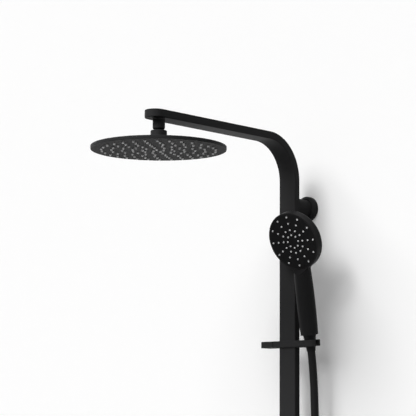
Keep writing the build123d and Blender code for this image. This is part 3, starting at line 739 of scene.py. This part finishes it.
# ==== Spray nozzles ===========================================================================
@dataclass(frozen=True)
class NozzleField:
    """Rings of soft silicone nozzles on a spray face, in millimetres and degrees.

    Attributes:
        name: Name of the piece.
        body: Body that it rides on.
        node: Node that it stands for.
        axes: Middle of the spray face, with z out of it.
        ring_radii: Radius of each ring.
        ring_counts: Nozzles in each ring.
        starts: Turn of each ring's first nozzle from x.
        base: Radius at the spray face.
        tip: Radius at the tip, but for its bevel.
        length: How far a nozzle stands out.
        shoulder: First bend of its side, as shares of the taper and of the length.
        crown: Second bend, near the tip.
        edge: Width of the tip's bevel.
        hole: Radius of the jet hole.
        hole_depth: Depth of the jet hole.
        hole_taper: Radius of its floor, as a share of the hole's.
        sides: Sides of a nozzle.
        crease: Angle over which its edges shade sharp.
    """

    name: str
    body: str
    node: str
    axes: Axes
    ring_radii: tuple[float, ...]
    ring_counts: tuple[int, ...]
    starts: tuple[float, ...]
    base: float
    tip: float
    length: float
    shoulder: tuple[float, float] = (0.35, 0.45)
    crown: tuple[float, float] = (0.85, 0.88)
    edge: float = 0.2
    hole: float = 0.25
    hole_depth: float = 0.7
    hole_taper: float = 0.8
    sides: int = 10
    crease: float = 50.0

    def places(self) -> np.ndarray:
        """Return the nozzles' places, at even steps round each ring.

        A nozzle at turn t of a ring of radius r stands at (r cos t, r sin t, 0).
        """
        radius = np.repeat(self.ring_radii, self.ring_counts)
        start = np.repeat(np.radians(self.starts), self.ring_counts)
        steps = [np.linspace(0, TAU, count, endpoint=False) for count in self.ring_counts]
        turn = start + np.concatenate(steps)
        return np.stack([radius * np.cos(turn), radius * np.sin(turn), 0 * turn], -1) * MM

    def build(self, shop: Workshop) -> None:
        """Build all the nozzles as one piece: a tapered plug with a round shoulder and a jet hole.

        Args:
            shop: Workshop that dresses the piece.
        """
        taper, floor = self.base - self.tip, self.length - self.hole_depth
        profile = [
            (0, 0),
            (self.base, 0),
            (self.base - self.shoulder[0] * taper, self.shoulder[1] * self.length),
            (self.base - self.crown[0] * taper, self.crown[1] * self.length),
            (self.tip - self.edge, self.length),
            (self.hole, self.length),
            (self.hole_taper * self.hole, floor),
            (0, floor),
        ]
        plug = turned(np.array(profile) * MM, self.sides)
        piece = Shell().copies(plug, self.places(), self.axes).build(self.name, self.crease)
        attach(piece, self.body)
        shop.dress(piece, Surface.SILICONE, self.node)


# ==== Sub-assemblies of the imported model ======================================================
@dataclass(frozen=True)
class Column:
    """Bent rail with its round end, and the fittings inside it.

    Attributes:
        coated: Nodes with a powder coat.
        brass: Turned brass nodes.
    """

    coated: tuple[str, ...] = ("rail_tube",)
    brass: tuple[str, ...] = ("arm_outlet", "rail_insert")

    def build(self, frame: dict, shop: Workshop) -> None:
        """Dress the rail and its fittings.

        Args:
            shop: Workshop that holds the finishes.
        """
        shop.keep(frame, Surface.POWDER_COAT, *self.coated)
        shop.keep(frame, Surface.BRASS, *self.brass)
        shop.keep(frame, Surface.STEEL, "rail_screw")


@dataclass(frozen=True)
class WallBrackets:
    """Upper bracket with its hidden plate, and the inlet's stem with its flange.

    Attributes:
        coated: Nodes with a powder coat.
        steel: Steel nodes.
    """

    coated: tuple[str, ...] = ("upper_stem", "upper_flange", "inlet_stem", "lower_flange")
    steel: tuple[str, ...] = ("wall_plate", "bracket_grub_screw")

    def build(self, frame: dict, shop: Workshop) -> None:
        """Dress both brackets.

        Args:
            shop: Workshop that holds the finishes.
        """
        shop.keep(frame, Surface.POWDER_COAT, *self.coated)
        shop.keep(frame, Surface.STEEL, *self.steel)
        shop.keep(frame, Surface.WHITE_PLASTIC, "inlet_filter")


@dataclass(frozen=True)
class Foot:
    """Diverter with its knob, and the hose outlet under it.

    Attributes:
        coated: Nodes with a powder coat.
        brass: Turned brass nodes.
        seals: Rubber nodes.
    """

    coated: tuple[str, ...] = (
        "diverter_body",
        "diverter_knob",
        "hose_outlet",
        "hose_nut",
        "lower_ferrule",
    )
    brass: tuple[str, ...] = ("cartridge_nut", "diverter_spindle")
    seals: tuple[str, ...] = ("rail_gasket", "hose_nut_washer")

    def build(self, frame: dict, shop: Workshop) -> None:
        """Dress the diverter and its outlet.

        Args:
            shop: Workshop that holds the finishes.
        """
        shop.keep(frame, Surface.POWDER_COAT, *self.coated)
        shop.keep(frame, Surface.BRASS, *self.brass)
        shop.keep(frame, Surface.RUBBER, *self.seals)
        shop.keep(frame, Surface.WHITE_PLASTIC, "diverter_cartridge")
        shop.keep(frame, Surface.STEEL, "knob_grub_screw")


@dataclass(frozen=True)
class OverheadShower:
    """Thin disc on its ball joint.

    Attributes:
        coated: Nodes with a powder coat.
        liners: Pale plastic nodes inside it.
    """

    coated: tuple[str, ...] = ("ball_stud", "ball_nut", "head_shell")
    liners: tuple[str, ...] = ("ball_seat", "head_filter")

    def build(self, frame: dict, shop: Workshop) -> None:
        """Dress the disc and its joint, and build the nozzles.

        Args:
            shop: Workshop that holds the finishes.
        """
        shop.keep(frame, Surface.POWDER_COAT, *self.coated)
        shop.keep(frame, Surface.WHITE_PLASTIC, *self.liners)
        shop.keep(frame, Surface.SPRAY_FACE, "spray_plate")
        shop.keep(frame, Surface.RUBBER, "outlet_gasket")
        axis = at_joint(frame, "overhead_turn")
        centre = np.array([*axis.origin[:2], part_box("spray_plate")[0][2]])
        NozzleField(
            name="overhead_nozzles",
            body="overhead_shower",
            node="spray_nozzles",
            axes=Axes(centre, axis.x, -axis.y, -axis.z),
            ring_radii=(10, 29, 48, 67, 86, 105),
            ring_counts=(4, 10, 16, 18, 24, 30),
            starts=(-22.5, -11, -6.5, -0.5, -0.5, -0.5),
            base=2.3,
            tip=2.0,
            length=2.8,
        ).build(shop)


@dataclass(frozen=True)
class SliderHolder:
    """Slider with its liner, release lever and cone seat.

    Attributes:
        satin: Nodes of satin black plastic.
        steel: Steel nodes.
    """

    satin: tuple[str, ...] = ("slider_body", "release_lever")
    steel: tuple[str, ...] = ("lever_pin", "lever_spring")

    def build(self, frame: dict, shop: Workshop) -> None:
        """Dress the slider and its lever.

        Args:
            shop: Workshop that holds the finishes.
        """
        shop.keep(frame, Surface.SATIN, *self.satin)
        shop.keep(frame, Surface.WHITE_PLASTIC, "slider_liner")
        shop.keep(frame, Surface.STEEL, *self.steel)
        shop.keep(frame, Surface.RUBBER, "brake_pad")


@dataclass(frozen=True)
class HandShower:
    """Hand shower on its cone nut, leaning out from the wall.

    Attributes:
        tilt: Tilt of the spray face to the handle, in degrees.
        face_forward: How far its middle lies ahead of the handle's axis, in millimetres.
        face_height: How far its middle lies above the turning joint, along that axis.
    """

    tilt: float = 14.3
    face_forward: float = 18.5
    face_height: float = 201.8

    def face(self, frame: dict) -> Axes:
        """Return axes on the spray face: x to the right, y up the face and z out of it.
        """
        hand = at_joint(frame, "hand_shower_turn")
        centre = hand.place(np.array([0, -self.face_forward, self.face_height]) * MM)
        s, c = math.sin(math.radians(self.tilt)), math.cos(math.radians(self.tilt))
        return Axes(centre, hand.x, c * hand.z - s * hand.y, -c * hand.y - s * hand.z)

    def build(self, frame: dict, shop: Workshop) -> None:
        """Dress the hand shower and build its nozzles.

        Args:
            shop: Workshop that holds the finishes.
        """
        shop.keep(frame, Surface.MOULDED, "handset_body", "cone_nut")
        shop.keep(frame, Surface.SPRAY_FACE, "handset_face")
        shop.keep(frame, Surface.WHITE_PLASTIC, "handset_inlet")
        shop.keep(frame, Surface.RUBBER, "handset_washer")
        NozzleField(
            name="hand_nozzles",
            body="hand_shower",
            node="handset_nozzles",
            axes=self.face(frame),
            ring_radii=(49.3, 36.4, 23.4, 12.9),
            ring_counts=(12, 12, 12, 8),
            starts=(90, 90, 90, 90),
            base=1.8,
            tip=1.6,
            length=1.4,
        ).build(shop)


# ==== Hose ====================================================================================
@dataclass(frozen=True)
class Hose:
    """One smooth hose from the cone nut round to the outlet under the diverter.

    Attributes:
        radius: Radius of the hose, in millimetres.
        route: Points that the hose is drawn towards, in millimetres.
        joins: Runs of the route, counted from 0, at whose middles the stretches meet.
        stretches: Name of each stretch's piece, and the node that it stands for.
        sides: Sides of the hose.
        steps: Points of the line for each run of the route.
        far: Reach of the loop's blend, in metres, which follow does not yet use.
    """

    radius: float = 7.75
    route: tuple[tuple[float, float, float], ...] = (
        (48.7, -52.767, 718.842),
        (48.7, -44.17, 669.586),
        (51.5, -44.2, 574),
        (59, -42.5, 445),
        (77, -42, 270),
        (106, -44, 90),
        (140, -48, -80),
        (175, -51, -208),
        (180, -53, -312),
        (126, -55, -366),
        (50, -57, -366),
        (-4, -59, -312),
        (0, -59.5, -199),
        (0, -59.5, -86),
    )
    joins: tuple[int, int, int] = (1, 7, 11)
    stretches: tuple[tuple[str, str], ...] = (
        ("hose_upper_skin", "hose_upper"),
        ("hose_lower_skin", "hose_lower"),
        ("hose_loop_skin", "hose_lower"),
        ("hose_foot_skin", "hose_lower"),
    )
    sides: int = 28
    steps: int = 24
    far: float = 1000.0

    def line(self) -> np.ndarray:
        """Return points along a NURBS spline that has the route's points as control points."""
        points = np.array(self.route) * MM
        curve = bpy.data.curves.new("hose_route", "CURVE")
        curve.dimensions = "3D"
        curve.resolution_u = self.steps
        spline = curve.splines.new("NURBS")
        spline.points.add(len(points) - 1)
        spline.points.foreach_set("co", np.c_[points, np.ones(len(points))].ravel())
        spline.order_u = 3
        spline.use_endpoint_u = True
        helper = bpy.data.objects.new("hose_route", curve)
        bpy.context.scene.collection.objects.link(helper)
        bpy.context.view_layer.update()
        ready = helper.evaluated_get(bpy.context.evaluated_depsgraph_get())
        flat = bpy.data.meshes.new_from_object(ready)
        found = np.empty(len(flat.vertices) * 3)
        flat.vertices.foreach_get("co", found)
        bpy.data.objects.remove(helper)
        bpy.data.curves.remove(curve)
        bpy.data.meshes.remove(flat)
        return found.reshape(-1, 3)

    def cuts(self, line: np.ndarray) -> list[int]:
        """Find where the stretches start and end.

        Args:
            line: Points along the hose.

        Returns:
            Numbers of the line's ends, and of its points nearest to the joins between them.
        """
        points = np.array(self.route) * MM
        middles = [(points[run] + points[run + 1]) / 2 for run in self.joins]
        nearest = [int(np.argmin(np.linalg.norm(line - middle, axis=1))) for middle in middles]
        return [0, *nearest, len(line) - 1]

    def tube(self, name: str, line: np.ndarray, along: np.ndarray) -> bpy.types.Object:
        """Make a closed tube along a line.

        The ring at each point lies across the line's direction, on axes found from the depth
        axis, which the hose never runs along.

        Args:
            name: Name of the piece.
            line: Points of its centreline.
            along: Direction of the line at each point.

        Returns:
            The tube, closed at both ends.
        """
        side = np.cross(along, np.array([0.0, 1.0, 0.0]))
        side /= np.linalg.norm(side, axis=1, keepdims=True)
        depth = np.cross(side, along)
        turn = np.linspace(0, TAU, self.sides, endpoint=False)
        section = self.radius * MM * np.stack([np.cos(turn), np.sin(turn)], -1)
        grid = carried(section, line, side, depth)
        return Shell().grid(grid).cap(grid[0]).cap(grid[-1]).build(name)

    def stretch(
        self, name: str, node: str, line: np.ndarray, along: np.ndarray, shop: Workshop
    ) -> bpy.types.Object:
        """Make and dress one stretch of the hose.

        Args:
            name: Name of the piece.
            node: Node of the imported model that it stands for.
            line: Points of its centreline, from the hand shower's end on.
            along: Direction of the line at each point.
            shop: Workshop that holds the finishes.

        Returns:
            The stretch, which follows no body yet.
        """
        piece = self.tube(name, line, along)
        shop.dress(piece, Surface.HOSE_SKIN, node)
        return piece

    @staticmethod
    def follow(piece: bpy.types.Object, middle: np.ndarray, way: np.ndarray) -> None:
        """Bake a stretch's placement into its mesh; it does not follow the slider.

        Args:
            piece: The stretch.
            middle: Not used.
            way: Not used.
        """
        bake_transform(piece)

    def build(self, frame: dict, shop: Workshop) -> None:
        """Build the hose as stretches that meet end to end.

        Each stretch stays where it is built: its placement is baked into its mesh. The ways worked
        out for the legs and for the loop, which on a hanging hose moves half as far as the slider, go
        to follow, which does not use them.

        Args:
            shop: Workshop that holds the finishes.
        """
        shop.keep(frame, Surface.BRASS, "upper_ferrule")
        line = self.line()
        along = np.gradient(line, axis=0)
        along /= np.linalg.norm(along, axis=1, keepdims=True)
        cuts = self.cuts(line)
        upper, lower, loop, foot = (
            self.stretch(name, node, line[first : last + 1], along[first : last + 1], shop)
            for (name, node), first, last in zip(self.stretches, cuts, cuts[1:])
        )
        nut, neck, right, left, outlet = line[cuts]
        down, up = along[cuts[2]], along[cuts[3]]
        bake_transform(upper)
        self.follow(lower, right, down * ((neck - right) @ down))
        self.follow(loop, right, np.array([0, 0, self.far]))
        self.follow(foot, left, -up * ((outlet - left) @ up))


def main() -> None:
    """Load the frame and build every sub-assembly."""
    logging.basicConfig(level=logging.INFO, format="%(name)s: %(message)s")
    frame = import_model()
    Studio().build()
    shop = Workshop()
    for part in (Column, WallBrackets, Foot, OverheadShower, SliderHolder, HandShower, Hose):
        part().build(frame, shop)
    LOG.info("nodes without a finish: %s", sorted(set(frame["nodes"]) - shop.dressed))


if __name__ == "__main__":
    main()
